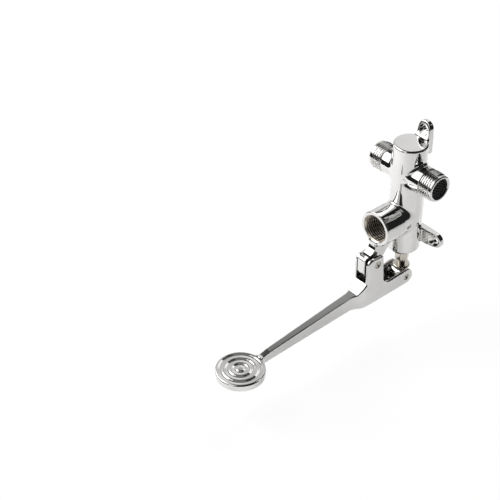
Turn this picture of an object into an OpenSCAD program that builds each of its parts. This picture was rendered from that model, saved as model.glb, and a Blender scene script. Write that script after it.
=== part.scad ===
// Wall-mounted foot pedal mixing valve.
// Frame: +Z up, wall plane at y = 0, valve towards -Y, origin midway between the two side screw holes.

/* [Wall fixing] */
// Distance from the wall to the barrel's axis
axis_off = 16.6; // [15:0.1:22]
// Thickness of the wall lugs where they leave the barrel
lug_root_t = 5.9; // [5:0.1:6.6]
// Thickness of the wall lugs at their screw holes
lug_t = 4.6; // [4:0.1:5]
// Width of the wall lugs where they leave the barrel
lug_root_w = 12.2; // [11:0.1:16]
// Width of the wall lugs round their screw holes
lug_w = 11.4; // [9.6:0.1:14]
// Screw hole in each wall lug
lug_hole_d = 5.2; // [3:0.1:6.5]
// Diameter of the countersink at each screw hole's front
sink_d = 8.4; // [6.6:0.1:9.4]
// Distance between the two side screw holes
side_span = 38.6; // [38:0.1:60]
// Height of the top screw hole above the barrel's top face
ear_rise = 6.6; // [6:0.1:14]

/* [Barrel] */
// Outer diameter of the barrel
body_d = 25; // [24.4:0.1:26]
// Height of the inlets' axis above the side screw holes
inlet_up = 57.5; // [52:0.5:70]
// Height of the top face above the inlets' axis
top_up = 23.8; // [20:0.1:34]
// Drop from the inlets' axis to the outlet's axis
outlet_down = 36.5; // [34:0.5:48]
// Drop from the outlet's axis to the barrel's lower end
tail_down = 30; // [27:0.5:36]
// Thickness of the closed top
top_wall = 5; // [3:0.1:9]
// Rounding of the top edge
top_edge_r = 1; // [0.4:0.1:2]
// Rounding of the lower edge
low_edge_r = 3.4; // [1:0.1:3.4]
// Bore of the inlet chamber
chamber_d = 14.6; // [14:0.1:15.2]
// Bore of the outlet chamber, which takes the seat ring and the bonnet
bore_d = 16; // [15.8:0.1:17]

/* [Pipe threads] */
// Major diameter of the half inch pipe thread
thread_d = 20.955; // [20.5:0.005:21.4]
// Depth of the thread
thread_depth = 1.162; // [0.9:0.001:1.3]
// Pitch of the thread
thread_pitch = 1.814; // [1.5:0.001:1.9]
// Number of thread ridges on each inlet
inlet_turns = 5; // [3:1:6]
// Number of thread grooves in the outlet
outlet_turns = 6; // [4:1:7]

/* [Inlets] */
// Reach of each inlet from the barrel's axis
inlet_reach = 30.5; // [30:0.1:38]
// Diameter of the plain neck behind the thread
neck_d = 20.6; // [19.6:0.1:22]
// Bore that takes the non-return cartridge
inlet_bore_d = 15.4; // [14.8:0.1:16]
// Depth of the strainer behind the mouth
mouth_recess = 1.3; // [0.8:0.1:2]
// Port between the stop and the inlet chamber
inlet_port_d = 11; // [9:0.1:12]
// Length of the plain lip in front of the thread
lip_l = 2.2; // [1.6:0.1:4]
// Step of the lip below the thread's crests
lip_step = 0.6; // [0.3:0.1:1.2]
// Chamfer of the lip, outside and inside
lip_chamfer = 0.7; // [0.3:0.1:0.9]

/* [Outlet] */
// Reach of the outlet's mouth from the barrel's axis
outlet_reach = 31; // [30:0.1:36]
// Diameter of the outlet boss
boss_d = 26.8; // [25.4:0.1:30]
// Chamfer at the outlet's mouth
mouth_chamfer = 1.5; // [0.8:0.1:2]
// Port from the outlet chamber to the thread
outlet_port_d = 13; // [9:0.1:15]

/* [Pivot] */
// Distance of the lever's pivot ahead of the barrel's axis
pivot_out = 32.9; // [31:0.1:36]
// Height of the pivot above the barrel's lower end
pivot_up = 3; // [2:0.1:4.5]
// Diameter of the pivot pin
pivot_pin_d = 4.4; // [3.5:0.1:6]
// Thickness of the pivot lug
pivot_lug_t = 7.2; // [6:0.1:8.6]
// Half depth of the pivot lug, front to back
eye_r = 9; // [7:0.1:9.5]
// Drop from the pivot to the lug's lower end
eye_drop = 11; // [8:0.1:12]
// Rise of the lug's front shoulder above the pivot
shoulder_up = 6; // [4.5:0.1:7]

/* [Lever] */
// Width of the fork at its front edge
fork_front_w = 14; // [13.6:0.1:16]
// Width of the fork at the roller
fork_back_w = 18.6; // [18:0.1:21]
// Gap between the prongs, with the pivot lug close to the left-hand one
front_slot_w = 9.5; // [9.2:0.1:9.8]
// Gap between the cheeks at the roller
back_slot_w = 13.8; // [13.2:0.1:14.4]
// Front edge of the prongs ahead of the pivot
prong_front = 9.3; // [8:0.1:11]
// Back edge of the prongs behind the pivot
prong_back = 5.8; // [5:0.1:8]
// Backward lean of the prongs' back edge from top to notch
prong_lean = 1.4; // [0:0.1:2]
// Rounding of the prongs' front corner
prong_r = 5; // [2.5:0.1:6]
// Top of the prongs above the pivot
prong_up = 6.1; // [5.2:0.1:7]
// Drop from the pivot to the floor of the fork's slot
floor_drop = 14.5; // [13.5:0.1:17]
// Distance from the pivot back to the roller
roller_back = 29.5; // [27:0.1:33]
// Drop from the pivot to the roller
roller_drop = 25.2; // [24:0.1:28]
// Radius of the fork's round tail
tail_r = 6.6; // [5.5:0.1:8]
// Drop from the pivot to the fork's underside at its front
fork_drop = 35.2; // [32:0.1:40]
// Fillet between prong and tail
notch_r = 5; // [2:0.1:7]
// Rise of the tail's upper edge toward the roller, in degrees
tail_rise = 7; // [0:0.5:9]
// Width of the arm next to the fork
arm_w = 7; // [5:0.1:10]
// Width of the arm next to the pedal
arm_tip_w = 4.7; // [3.5:0.1:8]
// Height of the arm next to the fork
arm_h = 12; // [9:0.1:14]
// Height of the arm next to the pedal
arm_tip_h = 7.6; // [5:0.1:9]
// Length of the taper from fork to arm
taper_l = 13; // [8:0.5:20]
// Length of the sloped face in front of the slot
ramp_l = 7; // [4:0.1:10]

/* [Pedal] */
// Distance of the pedal's centre ahead of the pivot
pedal_out = 123.4; // [90:0.1:160]
// Drop from the pivot to the pedal's face
pedal_drop = 32.3; // [26:0.1:38]
// Diameter of the pedal
pedal_d = 35.7; // [28:0.1:50]
// Thickness of the pedal
pedal_t = 5.8; // [4.5:0.1:9]
// Number of grooves in the pedal's face
groove_count = 3; // [2:1:4]
// Depth of the grooves
groove_depth = 0.9; // [0.4:0.1:1.5]
// Rounding of the pedal's edges
pedal_edge_r = 1; // [0.4:0.1:1.6]

/* [Roller and pins] */
// Diameter of the roller
roller_d = 8; // [7:0.1:10]
// Diameter of the roller's pin
roller_pin_d = 3.6; // [3:0.1:5]
// Amount by which a pin's head is wider than its shank
head_extra = 1.1; // [0.8:0.1:2.4]
// Thickness of a pin's head
head_t = 1.2; // [0.8:0.1:1.4]
// Depth of a pin's head below the cheek
head_in = 0.4; // [0:0.1:0.6]
// Width of the screwdriver slots
slot_w = 1; // [0.6:0.1:1.4]
// Depth of the screwdriver slots
slot_depth = 0.7; // [0.4:0.1:0.8]

/* [Valve gear] */
// Diameter of the spindle
spindle_d = 5.5; // [5:0.1:6]
// Diameter of the spindle's foot
foot_d = 12.6; // [9:0.1:13]
// Thickness of the spindle's foot
foot_t = 2.6; // [1.8:0.1:3]
// Width across the bonnet's flats
hex_af = 9.4; // [8.6:0.1:12]
// Length of the bonnet's hexagon
hex_l = 8.8; // [5:0.1:9]
// Thickness of the bonnet's flange
flange_t = 1.5; // [1:0.1:2]
// Diameter of the bonnet's flange
flange_d = 18; // [17.4:0.1:18.2]
// Length of the bonnet inside the barrel
bonnet_l = 15; // [12:0.1:17]
// Drop from the inlets' axis to the seat ring's shoulder
seat_down = 16.5; // [15:0.1:17.5]
// Thickness of the seat ring
seat_t = 5; // [4.4:0.1:6]
// Hole through the seat ring
seat_d = 8.4; // [8:0.1:9.4]
// Height of the seat's raised lip
seat_lip_h = 1.2; // [0.8:0.1:1.6]
// Width of the seat's raised lip
seat_lip_w = 0.8; // [0.6:0.1:1]
// Thickness of the rubber seat washer
washer_t = 3; // [2:0.1:3.4]
// Diameter of the rubber seat washer
washer_d = 12; // [11.6:0.1:12.2]
// Thickness of the plug's disc
plug_t = 3; // [2:0.1:3.4]
// Diameter of the spindle's stud through the plug
stud_d = 4; // [3:0.1:4.4]
// Width across the flats of the plug's nut
nut_af = 7; // [6.6:0.1:7]
// Thickness of the plug's nut
nut_t = 3.2; // [2.4:0.1:3.6]

/* [Springs] */
// Wire of the return spring
spring_wire_d = 1.2; // [0.8:0.1:1.3]
// Mean diameter of the return spring
spring_d = 9.8; // [9.6:0.1:10.4]
// Turns of the return spring
spring_turns = 8; // [6:1:10]
// Wire of each non-return spring
check_wire_d = 0.5; // [0.4:0.05:0.6]
// Mean diameter of each non-return spring
check_spring_d = 5.2; // [4.6:0.1:5.6]
// Turns of each non-return spring
check_turns = 5; // [3:1:6]

/* [Non-return cartridges] */
// Length of the cartridge
check_l = 14.5; // [13:0.1:14.6]
// Wall of the cartridge
check_wall = 1.86; // [1.7:0.01:2.1]
// Thickness of the cartridge's spider
spider_t = 1.7; // [1.2:0.1:2.2]
// Thickness of the cartridge's seat plate
plate_t = 2.2; // [1.6:0.1:2.4]
// Hole in the cartridge's seat plate
plate_d = 9.2; // [8:0.1:9.4]
// Diameter of the poppet's disc
poppet_d = 10.4; // [10.2:0.1:10.6]
// Thickness of the poppet's disc
poppet_t = 1.4; // [1:0.1:2]
// Diameter of the poppet's stem
poppet_stem_d = 2.5; // [2:0.1:3]
// Thickness of the poppet's rubber ring
poppet_seal_t = 0.75; // [0.6:0.05:1]
// Thickness of the strainer
strainer_t = 1.2; // [0.8:0.1:1.3]
// Hole diameter in the strainer
mesh_hole_d = 1.5; // [1:0.1:1.6]
// Spacing of the holes in the strainer
mesh_pitch = 2.2; // [2.1:0.1:3]

/* [Fits] */
// Radial clearance of a piece that turns or slides
run_gap = 0.05; // [0.02:0.01:0.1]
// Radial clearance of a piece that stays put
seat_gap = 0.03; // [0.01:0.01:0.05]
// Clearance of a moving face from the face it closes on
face_gap = 0.05; // [0.02:0.01:0.1]
// Side clearance of a lug, roller or foot in its slot
side_gap = 0.3; // [0.2:0.05:0.6]

/* [Hidden] */
$fn = 64;
eps = 0.01;
over = 1;
chrome = [0.80, 0.80, 0.82];
nickel = [0.76, 0.72, 0.64];
brass = [0.78, 0.62, 0.32];
steel = [0.70, 0.71, 0.73];
black_plastic = [0.07, 0.07, 0.07];
rubber = [0.10, 0.10, 0.11];

// Main places
axis_y = -axis_off;
inlet_z = inlet_up;
body_top = inlet_z + top_up;
outlet_z = inlet_z - outlet_down;
body_bot = outlet_z - tail_down;
ear_z = body_top + ear_rise;
outlet_y = axis_y - outlet_reach;
pivot_y = axis_y - pivot_out;
pivot_z = body_bot + pivot_up;
roller_y = pivot_y + roller_back;
roller_z = pivot_z - roller_drop;
pedal_y = pivot_y - pedal_out;
pedal_z = pivot_z - pedal_drop;

// Radii used by more than one piece
body_r = body_d / 2;
bore_r = bore_d / 2;
thread_r = thread_d / 2;
root_r = thread_r - thread_depth;
spindle_r = spindle_d / 2;
inlet_bore_r = inlet_bore_d / 2;

// Places along the spindle
chamber_top = body_top - top_wall;
shoulder_z = inlet_z - seat_down;
seat_lip_z = shoulder_z + seat_lip_h;
washer_z = seat_lip_z + face_gap;
plug_z = washer_z + washer_t;
nut_z = plug_z + plug_t;
foot_z = roller_z + roller_d / 2 + 2 * face_gap;
collar_gap = 0.5;
collar_r = seat_d / 2 - collar_gap;
collar_t = seat_lip_h;

// Ring seals: a groove and a round ring that fills it, by the ring's section
o_ring_d = 1.6;
check_o_ring_d = 1.06;
groove_play = 0.4;
bonnet_ring_z = body_bot + bonnet_l * 0.73;
stem_ring_z = [for (part = [0.3, 0.72]) body_bot + bonnet_l * part];
seat_ring_mid_z = shoulder_z - seat_t / 2;

// Places along an inlet, measured out from the barrel's axis
cartridge_end = inlet_reach - mouth_recess - strainer_t;
stop_off = cartridge_end - check_l;
plate_in = cartridge_end - plate_t;
seal_out = plate_in - face_gap;
seal_in = seal_out - poppet_seal_t;
disc_in = seal_in - poppet_t;
spider_out = stop_off + spider_t;
check_ring_u = (spider_out + plate_in) / 2;
check_r = inlet_bore_r - seat_gap;
check_in_r = check_r - check_wall;
lip_u = inlet_reach - lip_l;
thread_u = lip_u - inlet_turns * thread_pitch;
relief_l = 0.9;
seal_boss_r = plate_d * 0.34;
window_r = 1.5;
window_count = 4;
window_rib = 0.8;
window_at = poppet_stem_d / 2 + window_r + window_rib;

// Lever outline
fork_front_y = pivot_y - prong_front;
prong_back_y = pivot_y + prong_back;
prong_z = pivot_z + prong_up;
floor_z = pivot_z - floor_drop;
notch_y = prong_back_y + prong_lean + notch_r;
notch_z = roller_z + (notch_r + tail_r + (notch_y - roller_y) * sin(tail_rise)) / cos(tail_rise);
under_z = pivot_z - fork_drop;
ramp_y = fork_front_y - ramp_l;
ramp_z = floor_z - ramp_l;
taper_end_y = fork_front_y - taper_l;
arm_under_z = ramp_z - arm_h;
pedal_r = pedal_d / 2;
arm_tip_y = pedal_y + pedal_r;
arm_tip_z = pedal_z + arm_tip_h - pedal_t;
arm_root_y = arm_tip_y - pedal_r / 3;
lug_mid = side_gap - (front_slot_w - pivot_lug_t) / 2;
cheek_slope = (fork_back_w - fork_front_w) / 2 / (roller_y - fork_front_y);
corner_r = 2.5;
roller_room = 0.7;

// Points on an arc, from angle a0 to angle a1
function arc(centre, r, a0, a1, n = 8) =
    [for (i = [0:n]) let (a = a0 + (a1 - a0) * i / n) centre + r * [cos(a), sin(a)]];

// Half the fork's width at a place along Y
function fork_half(y) = fork_front_w / 2 + cheek_slope * (y - fork_front_y);

// Outline of a run of thread ridges, as radius and place along the axis
function ridges(base_r, crest_r, start, turns) = [
    for (i = [0:turns - 1])
        for (step = [[0.15, 0], [0.375, 1], [0.625, 1], [0.85, 0]])
            [base_r + (crest_r - base_r) * step[1], start + (i + step[0]) * thread_pitch]
];

// Middle line of a coil that rises along Z, with eight places to a turn
coil_steps = 8;
coil_sides = 6;
function coil_line(r, low, high, turns) = [
    for (i = [0:turns * coil_steps])
        let (a = 360 * i / coil_steps)
            [r * cos(a), r * sin(a), low + (high - low) * i / (turns * coil_steps)]
];

// Least gap between one turn of a coil and the next, measured on its points
function coil_gap(line, wire_r) =
    min([for (i = [0:len(line) - 1]) for (k = [i + coil_steps - 1:len(line) - 1]) norm(line[i] - line[k])])
    - 2 * wire_r;

// Turns a shape's Z towards +X (side 1) or -X (side -1), with its zero on the barrel's axis
module along_inlet(side) {
    translate([0, axis_y, inlet_z]) rotate([0, side * 90, 0]) children();
}

// Turns a shape's Z towards the outlet, with its zero on the barrel's axis
module along_outlet() {
    translate([0, axis_y, outlet_z]) rotate([90, 0, 0]) children();
}

// Extrudes an outline drawn in Y and Z by a width along X
module across(width) {
    rotate([90, 0, 90]) linear_extrude(height = width, center = true) children();
}

// A cylinder along X at a place in Y and Z
module cross_rod(y, z, r, x0, x1) {
    translate([x0, y, z]) rotate([0, 90, 0]) cylinder(r = r, h = x1 - x0);
}

module on_axis(z) {
    translate([0, axis_y, z]) children();
}

module ring(outer_r, inner_r, h) {
    difference() {
        cylinder(r = outer_r, h = h);
        translate([0, 0, -over]) cylinder(r = inner_r, h = h + 2 * over);
    }
}

// Round seal whose section fills the space between two radii
module round_seal(inner_r, outer_r) {
    rotate_extrude() translate([(inner_r + outer_r) / 2, 0]) circle(d = outer_r - inner_r, $fn = 32);
}

module hexagon(af, h) {
    cylinder(d = af / cos(30), h = h, $fn = 6);
}

// One unbroken wire wound as a coil
module coil(r, wire_r, low, high, turns) {
    line = coil_line(r, low, high, turns);
    last = len(line) - 1;
    climb = (high - low) / turns / 360;
    echo(coil_least_gap = coil_gap(line, wire_r));
    skin = [
        for (i = [0:last])
            let (
                a = 360 * i / coil_steps,
                out = [cos(a), sin(a), 0],
                way = [-sin(a) * r * PI / 180, cos(a) * r * PI / 180, climb],
                up = cross(out, way / norm(way))
            )
            for (k = [0:coil_sides - 1])
                let (b = 360 * k / coil_sides) line[i] + wire_r * (cos(b) * out - sin(b) * up)
    ];
    walls = [
        for (i = [0:last - 1])
            for (k = [0:coil_sides - 1])
                let (
                    p = i * coil_sides + k,
                    q = i * coil_sides + (k + 1) % coil_sides
                )
                for (f = [[p, q, q + coil_sides], [p, q + coil_sides, p + coil_sides]]) f
    ];
    ends = [
        for (k = [1:coil_sides - 2])
            for (f = [
                [0, k + 1, k],
                [last * coil_sides, last * coil_sides + k, last * coil_sides + k + 1]
            ]) f
    ];
    polyhedron(points = skin, faces = concat(walls, ends));
}

// Barrel with its rounded ends
module barrel() {
    on_axis(0) rotate_extrude() polygon(concat(
        [[0, body_bot]],
        arc([body_r - low_edge_r, body_bot + low_edge_r], low_edge_r, -90, 0),
        arc([body_r - top_edge_r, body_top - top_edge_r], top_edge_r, 0, 90),
        [[0, body_top]]
    ));
}

// Outside of one threaded inlet
module inlet_spigot() {
    rotate_extrude() polygon(concat(
        [[0, 0], [neck_d / 2, 0], [neck_d / 2, thread_u - relief_l], [root_r, thread_u - relief_l]],
        ridges(root_r, thread_r, thread_u, inlet_turns),
        [
            [thread_r - lip_step, lip_u],
            [thread_r - lip_step, inlet_reach - lip_chamfer],
            [thread_r - lip_step - lip_chamfer, inlet_reach],
            [0, inlet_reach]
        ]
    ));
}

// Hollow of one inlet: mouth, cartridge bore, stop and port
module inlet_hollow() {
    rotate_extrude() polygon([
        [0, 0],
        [inlet_port_d / 2, 0],
        [inlet_port_d / 2, stop_off],
        [inlet_bore_r, stop_off],
        [inlet_bore_r, inlet_reach - lip_chamfer],
        [inlet_bore_r + lip_chamfer, inlet_reach],
        [inlet_bore_r + lip_chamfer, inlet_reach + over],
        [0, inlet_reach + over]
    ]);
}

// Outside of the outlet boss, drawn in towards the barrel
module outlet_boss() {
    boss_r = boss_d / 2;
    rim = 0.8;
    rotate_extrude() polygon([
        [0, 0],
        [body_r - rim, 0],
        [boss_r, body_r + rim],
        [boss_r, outlet_reach - rim],
        [boss_r - rim, outlet_reach],
        [0, outlet_reach]
    ]);
}

// Hollow of the outlet: port, thread and chamfered mouth
module outlet_hollow() {
    thread_end = outlet_reach - mouth_chamfer;
    thread_start = thread_end - outlet_turns * thread_pitch;
    rotate_extrude() polygon(concat(
        [
            [0, 0],
            [outlet_port_d / 2, 0],
            [outlet_port_d / 2, thread_start - over],
            [root_r, thread_start - over]
        ],
        ridges(root_r, thread_r, thread_start, outlet_turns),
        [
            [root_r, thread_end],
            [root_r + mouth_chamfer, outlet_reach],
            [root_r + mouth_chamfer, outlet_reach + over],
            [0, outlet_reach + over]
        ]
    ));
}

// One wall lug along Z: straight up to the start of its taper, then thinner and narrower to its round tip
module wall_lug(start, reach) {
    tip_r = lug_w / 2;
    half = lug_root_w / 2;
    run = reach - start;
    lean = acos(tip_r / norm([half, run])) - atan2(run, half);
    touch = tip_r * [cos(lean), sin(lean)];
    fall = (lug_root_t - lug_t) / run;
    far = reach + tip_r + over;
    rotate([90, 0, 0]) difference() {
        union() {
            translate([0, reach, 0]) cylinder(r = tip_r, h = lug_root_t);
            linear_extrude(height = lug_root_t) polygon([
                [-half, 0],
                [half, 0],
                [half, start],
                [touch[0], reach + touch[1]],
                [-touch[0], reach + touch[1]],
                [-half, start]
            ]);
        }
        across(lug_w + lug_root_w) polygon([
            [start, lug_root_t],
            [far, lug_root_t - fall * (far - start)],
            [far, lug_root_t + over],
            [start, lug_root_t + over]
        ]);
    }
}

// Two screw lugs at the side and an ear above the top face, with webs that join them to the barrel
module wall_lugs() {
    web_h = lug_root_w - 2 * top_edge_r;
    ear_root = body_top - lug_root_w;
    for (side = [-1, 1]) rotate([0, side * 90, 0]) wall_lug(body_r, side_span / 2);
    translate([0, 0, ear_root]) wall_lug(body_top - ear_root, ear_z - ear_root);
    for (z = [-web_h / 2, ear_root + top_edge_r])
        translate([-web_h / 2, axis_y, z]) cube([web_h, axis_off, web_h]);
}

// Screw holes, countersunk from the front
module wall_holes() {
    sink = (sink_d - lug_hole_d) / 2;
    for (place = [[-side_span / 2, 0], [side_span / 2, 0], [0, ear_z]])
        translate([place[0], 0, place[1]]) rotate([90, 0, 0]) rotate_extrude() polygon([
            [0, -over],
            [lug_hole_d / 2, -over],
            [lug_hole_d / 2, lug_t - sink],
            [sink_d / 2 + over, lug_t + over],
            [0, lug_t + over]
        ]);
}

// Lug under the outlet boss that carries the lever
module pivot_lug() {
    front_y = pivot_y - eye_r;
    back_y = pivot_y + eye_r;
    top_z = pivot_z + shoulder_up;
    low_z = pivot_z - eye_drop;
    low_r = eye_r * 0.6;
    root_z = outlet_z - (boss_d / 2 + thread_r) / 2;
    neck_r = outlet_y - front_y - corner_r;
    translate([lug_mid, 0, 0]) across(pivot_lug_t) polygon(concat(
        arc([front_y + corner_r, top_z - corner_r], corner_r, 180, 90),
        arc([front_y + corner_r, top_z + neck_r], neck_r, -90, 0),
        [[outlet_y, root_z], [axis_y - body_r, root_z], [back_y, pivot_z]],
        arc([back_y - low_r, low_z + low_r], low_r, 0, -90),
        arc([front_y + low_r, low_z + low_r], low_r, -90, -180)
    ));
}

module valve_body() {
    color(chrome) difference() {
        union() {
            barrel();
            for (side = [-1, 1]) along_inlet(side) inlet_spigot();
            along_outlet() outlet_boss();
            wall_lugs();
            pivot_lug();
        }
        wall_holes();
        for (side = [-1, 1]) along_inlet(side) inlet_hollow();
        along_outlet() outlet_hollow();
        on_axis(shoulder_z) cylinder(d = chamber_d, h = chamber_top - shoulder_z);
        on_axis(body_bot - over) cylinder(r = bore_r, h = shoulder_z - body_bot + over);
        cross_rod(pivot_y, pivot_z, pivot_pin_d / 2 + run_gap, -pivot_lug_t, pivot_lug_t);
    }
}

// Seat between the two chambers, with a groove for its seal
module seat_ring() {
    outer_r = bore_r - seat_gap;
    groove_h = o_ring_d + groove_play;
    color(brass) difference() {
        on_axis(shoulder_z - seat_t) union() {
            ring(outer_r, seat_d / 2, seat_t);
            ring(seat_d / 2 + seat_lip_w, seat_d / 2, seat_t + seat_lip_h);
        }
        on_axis(seat_ring_mid_z - groove_h / 2) ring(bore_r + over, bore_r - o_ring_d, groove_h);
    }
}

module seat_o_ring() {
    color(rubber) on_axis(seat_ring_mid_z) round_seal(bore_r - o_ring_d + seat_gap, bore_r - seat_gap);
}

// Gland that closes the barrel and guides the spindle
module bonnet() {
    outer_r = bore_r - seat_gap;
    groove_h = o_ring_d + groove_play;
    color(nickel) difference() {
        on_axis(0) union() {
            translate([0, 0, body_bot]) cylinder(r = outer_r, h = bonnet_l);
            translate([0, 0, body_bot - flange_t]) cylinder(d = flange_d, h = flange_t);
            translate([0, 0, body_bot - flange_t - hex_l]) hexagon(hex_af, hex_l + eps);
        }
        on_axis(body_bot - flange_t - hex_l - over)
            cylinder(r = spindle_r + run_gap, h = bonnet_l + flange_t + hex_l + 2 * over);
        on_axis(bonnet_ring_z - groove_h / 2) ring(bore_r + over, bore_r - o_ring_d, groove_h);
        for (z = stem_ring_z) on_axis(z - groove_h / 2) cylinder(r = spindle_r + o_ring_d, h = groove_h);
    }
}

module bonnet_o_ring() {
    color(rubber) on_axis(bonnet_ring_z) round_seal(bore_r - o_ring_d + seat_gap, bore_r - seat_gap);
}

module stem_o_rings() {
    color(rubber) for (z = stem_ring_z)
        on_axis(z) round_seal(spindle_r + run_gap, spindle_r + o_ring_d - seat_gap);
}

// Rod from the foot to the plug, with a collar under the washer and a stud above it
module spindle() {
    stud_r = stud_d / 2 - seat_gap;
    tip = nut_z + nut_t + over;
    color(nickel) on_axis(0) union() {
        translate([0, 0, foot_z + foot_t / 2]) cylinder(r = stud_r, h = foot_t / 2 + eps);
        translate([0, 0, foot_z + foot_t]) cylinder(r = spindle_r, h = washer_z - foot_z - foot_t);
        translate([0, 0, washer_z - collar_t]) cylinder(r = collar_r, h = collar_t);
        translate([0, 0, washer_z - eps]) cylinder(r = stud_r, h = tip - washer_z + eps);
    }
}

// Button on the spindle's lower end that the roller pushes
module spindle_foot() {
    bevel = 0.4;
    color(nickel) difference() {
        on_axis(foot_z) rotate_extrude() polygon([
            [0, 0],
            [foot_d / 2 - bevel, 0],
            [foot_d / 2, bevel],
            [foot_d / 2, foot_t - bevel],
            [foot_d / 2 - bevel, foot_t],
            [0, foot_t]
        ]);
        on_axis(foot_z + foot_t / 2 - seat_gap) cylinder(d = stud_d, h = foot_t);
    }
}

// Cup that carries the rubber washer
module valve_plug() {
    skirt = 0.4;
    drop = washer_t / 2;
    cup_r = washer_d / 2 + seat_gap;
    color(brass) on_axis(plug_z) difference() {
        union() {
            cylinder(r = cup_r + skirt, h = plug_t);
            translate([0, 0, -drop]) ring(cup_r + skirt, cup_r, drop + eps);
        }
        translate([0, 0, -over]) cylinder(d = stud_d, h = plug_t + 2 * over);
    }
}

module seat_washer() {
    color(rubber) on_axis(washer_z) ring(washer_d / 2, stud_d / 2, washer_t);
}

module plug_nut() {
    color(brass) on_axis(nut_z) difference() {
        hexagon(nut_af, nut_t);
        translate([0, 0, -over]) cylinder(d = stud_d, h = nut_t + 2 * over);
    }
}

module return_spring() {
    wire_r = spring_wire_d / 2;
    color(steel) on_axis(0)
        coil(spring_d / 2, wire_r, nut_z + wire_r + face_gap, chamber_top - wire_r - face_gap, spring_turns);
}

// Lever's outline seen from the side
module lever_side() {
    polygon(concat(
        [
            [arm_root_y, arm_tip_z - arm_tip_h],
            [arm_root_y, pedal_z - groove_depth],
            [arm_tip_y + over, arm_tip_z],
            [ramp_y, ramp_z],
            [fork_front_y, floor_z]
        ],
        arc([fork_front_y + prong_r, prong_z - prong_r], prong_r, 180, 90),
        arc([prong_back_y - corner_r, prong_z - corner_r], corner_r, 90, 0),
        arc([notch_y, notch_z], notch_r, 180, 270 + tail_rise),
        arc([roller_y, roller_z], tail_r, 90 + tail_rise, -90, 24),
        [
            [fork_front_y + corner_r, under_z],
            [taper_end_y, arm_under_z],
            [arm_tip_y, arm_tip_z - arm_tip_h]
        ]
    ));
}

// Lever's outline seen from above, from the tail to the pedal
module lever_plan() {
    steps = 10;
    tail_y = roller_y + tail_r + over;
    front_half = fork_front_w / 2;
    half = concat(
        [[fork_half(tail_y), tail_y], [front_half, fork_front_y]],
        [
            for (i = [1:steps])
                let (share = i / steps, blend = (1 - cos(180 * share)) / 2)
                    [front_half + (arm_w / 2 - front_half) * blend, fork_front_y - taper_l * share]
        ],
        [[arm_tip_w / 2, arm_tip_y], [arm_tip_w / 2, arm_root_y]]
    );
    last = len(half) - 1;
    polygon(concat(half, [for (i = [0:last]) [-half[last - i][0], half[last - i][1]]]));
}

// Space between the cheeks: narrow round the pivot lug, wide round the roller, with a floor that slopes
module fork_slot() {
    narrow_y = prong_back_y + corner_r / 2;
    wide_y = narrow_y + notch_r + corner_r / 2;
    back_y = roller_y + tail_r + 2 * over;
    front_y = fork_front_y - over;
    low_z = roller_z - roller_d / 2 - roller_room;
    intersection() {
        across(fork_back_w) polygon([
            [front_y, prong_z + over],
            [front_y, floor_z],
            [prong_back_y - notch_r, floor_z],
            [roller_y - tail_r, low_z],
            [back_y, low_z],
            [back_y, prong_z + over]
        ]);
        translate([0, 0, low_z - over]) linear_extrude(height = prong_z - low_z + 3 * over) polygon([
            [-front_slot_w / 2, front_y - over],
            [front_slot_w / 2, front_y - over],
            [front_slot_w / 2, narrow_y],
            [back_slot_w / 2, wide_y],
            [back_slot_w / 2, back_y + over],
            [-back_slot_w / 2, back_y + over],
            [-back_slot_w / 2, wide_y],
            [-front_slot_w / 2, narrow_y]
        ]);
    }
}

// Round tread with raised rings
module pedal() {
    groove_pitch = (pedal_r - pedal_edge_r) / (groove_count + 0.6);
    translate([0, pedal_y, pedal_z]) difference() {
        rotate_extrude() polygon(concat(
            [[0, -pedal_t]],
            arc([pedal_r - pedal_edge_r, -pedal_t + pedal_edge_r], pedal_edge_r, -90, 0, 4),
            arc([pedal_r - pedal_edge_r, -pedal_edge_r], pedal_edge_r, 0, 90, 4),
            [[0, 0]]
        ));
        for (i = [1:groove_count]) {
            mid = groove_pitch * i;
            half = groove_pitch * 0.32;
            rotate_extrude() polygon([
                [mid - half, over],
                [mid - half, 0],
                [mid - half / 2, -groove_depth],
                [mid + half / 2, -groove_depth],
                [mid + half, 0],
                [mid + half, over]
            ]);
        }
    }
}

// Hole through both cheeks for a screw pin, with a seat for its head on the +X side
module pin_hole(y, z, d) {
    face = fork_half(y);
    cross_rod(y, z, d / 2 + seat_gap, -face - over, face + over);
    cross_rod(y, z, (d + head_extra) / 2 + seat_gap, face - head_in - head_t, face + 2 * over);
}

module lever() {
    low_z = min(arm_under_z, under_z, pedal_z - pedal_t) - over;
    color(chrome) difference() {
        union() {
            intersection() {
                across(fork_back_w + 2 * over) lever_side();
                translate([0, 0, low_z]) linear_extrude(height = prong_z + over - low_z) lever_plan();
            }
            pedal();
        }
        fork_slot();
        pin_hole(pivot_y, pivot_z, pivot_pin_d);
        pin_hole(roller_y, roller_z, roller_pin_d);
    }
}

// Screw pin with a slotted head sunk in the cheek on the +X side
module screw_pin(y, z, d) {
    face = fork_half(y);
    head = face - head_in;
    color(nickel) difference() {
        union() {
            cross_rod(y, z, d / 2, -face + seat_gap, head - head_t / 2);
            cross_rod(y, z, (d + head_extra) / 2, head - head_t, head);
        }
        translate([head - slot_depth, y, z]) rotate([35, 0, 0])
            translate([0, -slot_w / 2, -d]) cube([slot_depth + over, slot_w, 2 * d]);
    }
}

module pivot_pin() {
    screw_pin(pivot_y, pivot_z, pivot_pin_d);
}

module roller_pin() {
    screw_pin(roller_y, roller_z, roller_pin_d);
}

module roller() {
    half = back_slot_w / 2 - side_gap;
    color(steel) difference() {
        cross_rod(roller_y, roller_z, roller_d / 2, -half, half);
        cross_rod(roller_y, roller_z, roller_pin_d / 2 + run_gap, -half - over, half + over);
    }
}

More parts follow.
